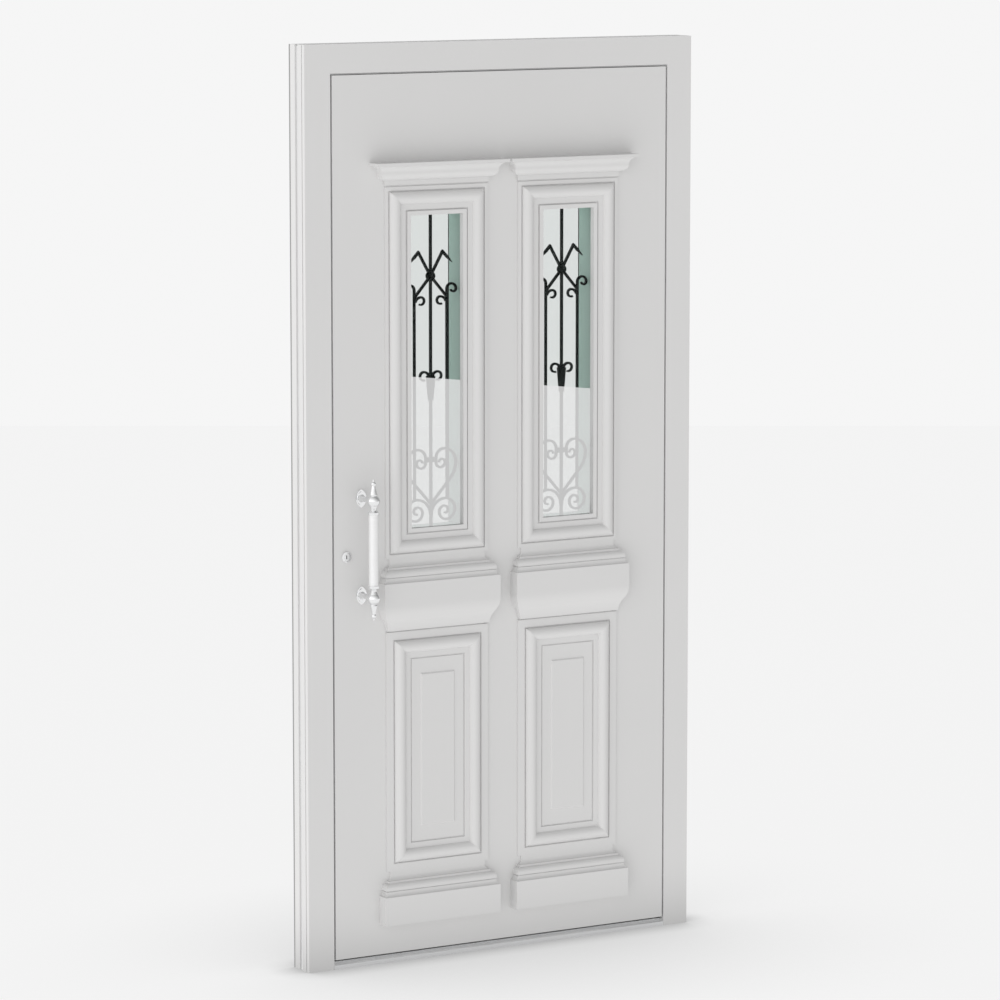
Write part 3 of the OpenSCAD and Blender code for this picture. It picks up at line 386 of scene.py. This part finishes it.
def screw_tree(material):
    """Geometry Nodes: a domed screw head with a six-sided recess on every point."""
    tree = bpy.data.node_groups.new("screw_heads", "GeometryNodeTree")
    face = tree.interface
    face.new_socket("Points", in_out="INPUT", socket_type="NodeSocketGeometry")
    for label in ("Head radius", "Head height", "Recess radius"):
        face.new_socket(label, in_out="INPUT", socket_type="NodeSocketFloat")
    face.new_socket("Turn", in_out="INPUT", socket_type="NodeSocketVector")
    face.new_socket("Screws", in_out="OUTPUT", socket_type="NodeSocketGeometry")

    def add(kind, settings=None, inputs=None):
        node = tree.nodes.new(kind)
        for key, value in (settings or {}).items():
            setattr(node, key, value)
        for key, value in (inputs or {}).items():
            if isinstance(value, bpy.types.NodeSocket):
                tree.links.new(value, node.inputs[key])
            else:
                node.inputs[key].default_value = value
        return node

    given = add("NodeGroupInput").outputs
    top = add("ShaderNodeMath", {"operation": "MULTIPLY"}, {0: given["Head radius"], 1: 0.72}).outputs[0]
    head = add("GeometryNodeMeshCone", {"fill_type": "NGON"},
               {"Vertices": 28, "Radius Bottom": given["Head radius"], "Radius Top": top,
                "Depth": given["Head height"]})
    socket = add("GeometryNodeMeshCylinder", {"fill_type": "NGON"},
                 {"Vertices": 6, "Radius": given["Recess radius"], "Depth": given["Head height"]})
    lift = add("ShaderNodeCombineXYZ", inputs={"Z": given["Head height"]}).outputs[0]
    raised = add("GeometryNodeTransform", inputs={"Geometry": socket.outputs["Mesh"], "Translation": lift})
    cut = add("GeometryNodeMeshBoolean", {"operation": "DIFFERENCE"},
              {0: head.outputs["Mesh"], 1: raised.outputs["Geometry"]})
    turn = add("FunctionNodeEulerToRotation", inputs={0: given["Turn"]}).outputs[0]
    heads = add("GeometryNodeInstanceOnPoints",
                inputs={"Points": given["Points"], "Instance": cut.outputs["Mesh"], "Rotation": turn})
    real = add("GeometryNodeRealizeInstances", inputs={"Geometry": heads.outputs["Instances"]})
    painted = add("GeometryNodeSetMaterial", inputs={"Geometry": real.outputs["Geometry"], "Material": material})
    add("NodeGroupOutput", inputs={"Screws": painted.outputs["Geometry"]})
    return tree


SCREWS = screw_tree(STEEL)


def screws(name, body, places, turn, radius=0.0035, height=0.0012):
    """Screw heads at places on one body. turn points the heads outwards from +Z."""
    mesh = bpy.data.meshes.new(name + "_points")
    mesh.from_pydata(places, [], [])
    seed = bpy.data.objects.new(name + "_points", mesh)
    SCENE.collection.objects.link(seed)
    modifier = seed.modifiers.new("heads", "NODES")
    modifier.node_group = SCREWS
    values = {"Head radius": radius, "Head height": height, "Recess radius": radius * 0.45, "Turn": turn}
    for item in SCREWS.interface.items_tree:
        if item.item_type == "SOCKET" and item.name in values:
            modifier[item.identifier] = values[item.name]
    made = bpy.data.meshes.new_from_object(seed.evaluated_get(bpy.context.evaluated_depsgraph_get()))
    made.name = name
    bpy.data.objects.remove(seed)
    add_piece(name, made, body)


INDOORS = (-math.pi / 2, 0.0, 0.0)
TO_LEFT = (0.0, -math.pi / 2, 0.0)
TO_RIGHT = (0.0, math.pi / 2, 0.0)
HINGE_LENGTH = 0.110
HINGE_SCREW_RISE = 0.042
PLATE_WIDTH = 0.038
PLATE_THICK = 0.004
FACEPLATE_END = 0.02
KEEP_HEIGHT = 0.12
SCREW_INSET = 0.012


def hinge_heights():
    """Heights of the hinges, from the box of all their frame plates."""
    low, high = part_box("hinge_frame_plates")
    half = HINGE_LENGTH / 2
    return (low[2] + half, (low[2] + high[2]) / 2, high[2] - half)


def hinge_screws(name, node, body, outer_edge):
    """Four screws in each hinge wing."""
    low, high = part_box(node)
    edge = high[0] if outer_edge > 0 else low[0]
    across = [edge - outer_edge * PLATE_WIDTH * part for part in (0.3, 0.7)]
    places = [(x, low[1] + PLATE_THICK, z + rise)
              for z in hinge_heights() for x in across for rise in (-HINGE_SCREW_RISE, HINGE_SCREW_RISE)]
    screws(name, body, places, INDOORS)


hinge_screws("hinge_screws_frame", "hinge_frame_plates", "frame", 1)
hinge_screws("hinge_screws_leaf", "hinge_leaf_plates", "leaf", -1)


def edge_screws(name, node, body, face, turn, heights):
    """Screws down the middle of a plate on a door edge."""
    low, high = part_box(node)
    y = (low[1] + high[1]) / 2
    screws(name, body, [(face, y, z) for z in heights], turn, radius=0.003, height=0.0006)


plate_low, plate_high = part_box("lock_faceplate")
faceplate_run = plate_high[2] - plate_low[2] - 2 * FACEPLATE_END
faceplate_heights = [plate_low[2] + FACEPLATE_END + faceplate_run * part for part in (0, 0.18, 0.36, 0.64, 0.82, 1)]
edge_screws("faceplate_screws", "lock_faceplate", "leaf", plate_low[0], TO_LEFT, faceplate_heights)

strike_low, strike_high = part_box("centre_strike")
edge_screws("strike_screws", "centre_strike", "frame", strike_high[0], TO_RIGHT,
            (strike_low[2] + SCREW_INSET, strike_high[2] - SCREW_INSET))
keep_low, keep_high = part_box("bolt_keeps")
edge_screws("keep_screws", "bolt_keeps", "frame", keep_high[0], TO_RIGHT,
            [end + side * rise for end, side in ((keep_low[2], 1), (keep_high[2], -1))
             for rise in (SCREW_INSET, KEEP_HEIGHT - SCREW_INSET)])

lever_low, lever_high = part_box("lever_plate")
lever_x = (lever_low[0] + lever_high[0]) / 2
screws("lever_plate_screws", "leaf",
       [(lever_x, lever_high[1], z) for z in (lever_low[2] + SCREW_INSET, lever_high[2] - SCREW_INSET)], INDOORS)


# Tape, plugs and a lip seal on the frame

CORNER_REBATE = 0.007
TAPE_INSET = 0.0003
ANCHOR_RADIUS = 0.00525
ANCHOR_Y = 0.021
ANCHOR_INSET = 0.35
PLUG_DEPTH = 0.004
PLUG_PLAY = 0.00005
PLUG_SIDES = 48
LIP_DEPTH = 0.004
LIP_THICK = 0.002
LIP_SHARE = 0.75
FRAME_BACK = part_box("jamb_left_inner")[1][1]


def on_frame(name, shape, material):
    """Turns a finished shape into a piece of the frame."""
    mesh = bpy.data.meshes.new(name)
    shape.to_mesh(mesh)
    shape.free()
    mesh.materials.append(material)
    add_piece(name, mesh, "frame")


def add_block(shape, low, high):
    """Adds a box between two corners to a shape."""
    middle = Matrix.Translation((Vector(low) + Vector(high)) / 2)
    size = Matrix.Diagonal((Vector(high) - Vector(low)).to_4d())
    bmesh.ops.create_cube(shape, size=1.0, matrix=middle @ size)


tape = bmesh.new()
rebate_x, rebate_y = FRAME_X - CORNER_REBATE, FRAME_BACK - CORNER_REBATE
tape_x, tape_y, tape_top = FRAME_X - TAPE_INSET, FRAME_BACK - TAPE_INSET, FRAME_TOP - TAPE_INSET
add_block(tape, (-tape_x, rebate_y, 0.0), (-rebate_x, tape_y, tape_top))
add_block(tape, (rebate_x, rebate_y, 0.0), (tape_x, tape_y, tape_top))
add_block(tape, (-rebate_x, rebate_y, FRAME_TOP - CORNER_REBATE), (rebate_x, tape_y, tape_top))
on_frame("wall_tape", tape, foam("sealing_tape", grey(0.24), grey(0.34), 900.0, 0.0002))

head_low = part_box("head_outer")[0]
lip_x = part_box("jamb_right_outer")[0][0]
lip_drop = LIP_SHARE * (head_low[2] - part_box("outer_skin")[1][2])
lip = bmesh.new()
add_block(lip, (-lip_x, head_low[1] + LIP_DEPTH, head_low[2] - lip_drop),
          (lip_x, head_low[1] + LIP_DEPTH + LIP_THICK, head_low[2]))
on_frame("head_lip_seal", lip, seal_rubber("grey_rubber", 0.42, 0.5))

plugs = bmesh.new()
plug_x = FRAME_X - PLUG_PLAY - PLUG_DEPTH / 2
plug_radius = ANCHOR_RADIUS - PLUG_PLAY
across = Matrix.Rotation(math.pi / 2, 4, "Y")
for x in (-plug_x, plug_x):
    for z in (ANCHOR_INSET, FRAME_TOP - ANCHOR_INSET):
        bmesh.ops.create_cone(plugs, cap_ends=True, segments=PLUG_SIDES, radius1=plug_radius, radius2=plug_radius,
                              depth=PLUG_DEPTH, matrix=Matrix.Translation((x, ANCHOR_Y, z)) @ across)
on_frame("anchor_plugs", plugs, FRAME_PAINT)


# Camera, as the photograph was taken

FRAME_DEPTH = FRAME_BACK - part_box("jamb_left_outer")[0][1]
CAMERA_AT = Vector((-5.717, -9.695 - FRAME_DEPTH / 2, 2.657))
CAMERA_TURN = math.radians(30.50)
CAMERA_DROP = math.radians(7.88)
CAMERA_LENS = 170.2

camera_data = bpy.data.cameras.new("camera")
camera_data.lens = CAMERA_LENS
camera_data.sensor_width = 36.0
camera_data.clip_end = 200.0
camera = bpy.data.objects.new("camera", camera_data)
camera.location = CAMERA_AT
camera.rotation_euler = (math.pi / 2 - CAMERA_DROP, 0.0, -CAMERA_TURN)
SCENE.collection.objects.link(camera)
SCENE.camera = camera
SCENE.view_settings.view_transform = "Standard"


# Studio

SEEN_BACKGROUND = 0.92
LIGHT_LEVEL = 0.885
LIGHT_SLOPE = (-0.47, -0.12, -0.43)
FLOOR_SEEN = 1.0
FLOOR_SHADE = 0.2
# Painted contact shadows on the floor: darkest level and reach of each.
PAINTED_FLOOR_SHADOWS = ((0.42, 0.85), (0.3, 0.085))
FLOOR_FAR = 21.7
FLOOR_HALF = 40.0
FLOOR_NEAR = -30.0


def plane(name, corners, material):
    """A single flat sheet of the studio."""
    mesh = bpy.data.meshes.new(name)
    mesh.from_pydata(corners, [], [tuple(range(len(corners)))])
    mesh.materials.append(material)
    sheet = bpy.data.objects.new(name, mesh)
    SCENE.collection.objects.link(sheet)
    return sheet


def floor_paper():
    """Pale seamless paper that keeps the real shadow in its matt share and looks near white, with painted contact
    shadows from ambient occlusion darkening its glow near the door.
    """
    f = Finish("floor_paper")
    mottle = f.noise(1.3, 3.0)
    matt = f.add("ShaderNodeBsdfDiffuse", inputs={"Color": f.blend(grey(0.84), grey(0.86), mottle)})
    seen = grey(FLOOR_SEEN)
    # painted shadow: ambient occlusion darkens the floor's glow near the door
    for level, reach in PAINTED_FLOOR_SHADOWS:
        clear = f.add("ShaderNodeAmbientOcclusion", {"samples": 16}, {"Distance": reach}, out="AO")
        seen = f.blend(grey(level), seen, clear)
    glow = f.add("ShaderNodeEmission", inputs={"Color": seen, "Strength": 1.0})
    shown = seen_by(f, "Camera", "Glossy", "Transmission")
    f.end(f.add("ShaderNodeMixShader", inputs={0: shown * (1 - FLOOR_SHADE), 1: matt, 2: glow}))
    return f.material


def on_floor(ahead, aside):
    """A floor point so far ahead of the camera and aside of its view."""
    ahead_dir = Vector((math.sin(CAMERA_TURN), math.cos(CAMERA_TURN), 0.0))
    aside_dir = Vector((math.cos(CAMERA_TURN), -math.sin(CAMERA_TURN), 0.0))
    return Vector((CAMERA_AT.x, CAMERA_AT.y, 0.0)) + ahead_dir * ahead + aside_dir * aside


floor = plane("floor", [on_floor(FLOOR_NEAR, -FLOOR_HALF), on_floor(FLOOR_NEAR, FLOOR_HALF),
                        on_floor(FLOOR_FAR, FLOOR_HALF), on_floor(FLOOR_FAR, -FLOOR_HALF)], floor_paper())
floor.visible_diffuse = False
floor.visible_shadow = False


def studio_light():
    """An even white studio, brighter from the left and from the white floor below than from above."""
    world = bpy.data.worlds.new("studio")
    sky = Shader(world, "ShaderNodeOutputWorld")
    toward = sky.add("ShaderNodeTexCoord", out="Generated")
    slope = sky.add("ShaderNodeVectorMath", {"operation": "DOT_PRODUCT"}, {0: toward, 1: LIGHT_SLOPE}, out="Value")
    seen = seen_by(sky, "Camera", "Transmission")
    strength = seen * SEEN_BACKGROUND + (1 - seen) * (LIGHT_LEVEL + slope)
    sky.end(sky.add("ShaderNodeBackground", inputs={"Color": grey(1.0), "Strength": strength}))
    return world


SCENE.world = studio_light()
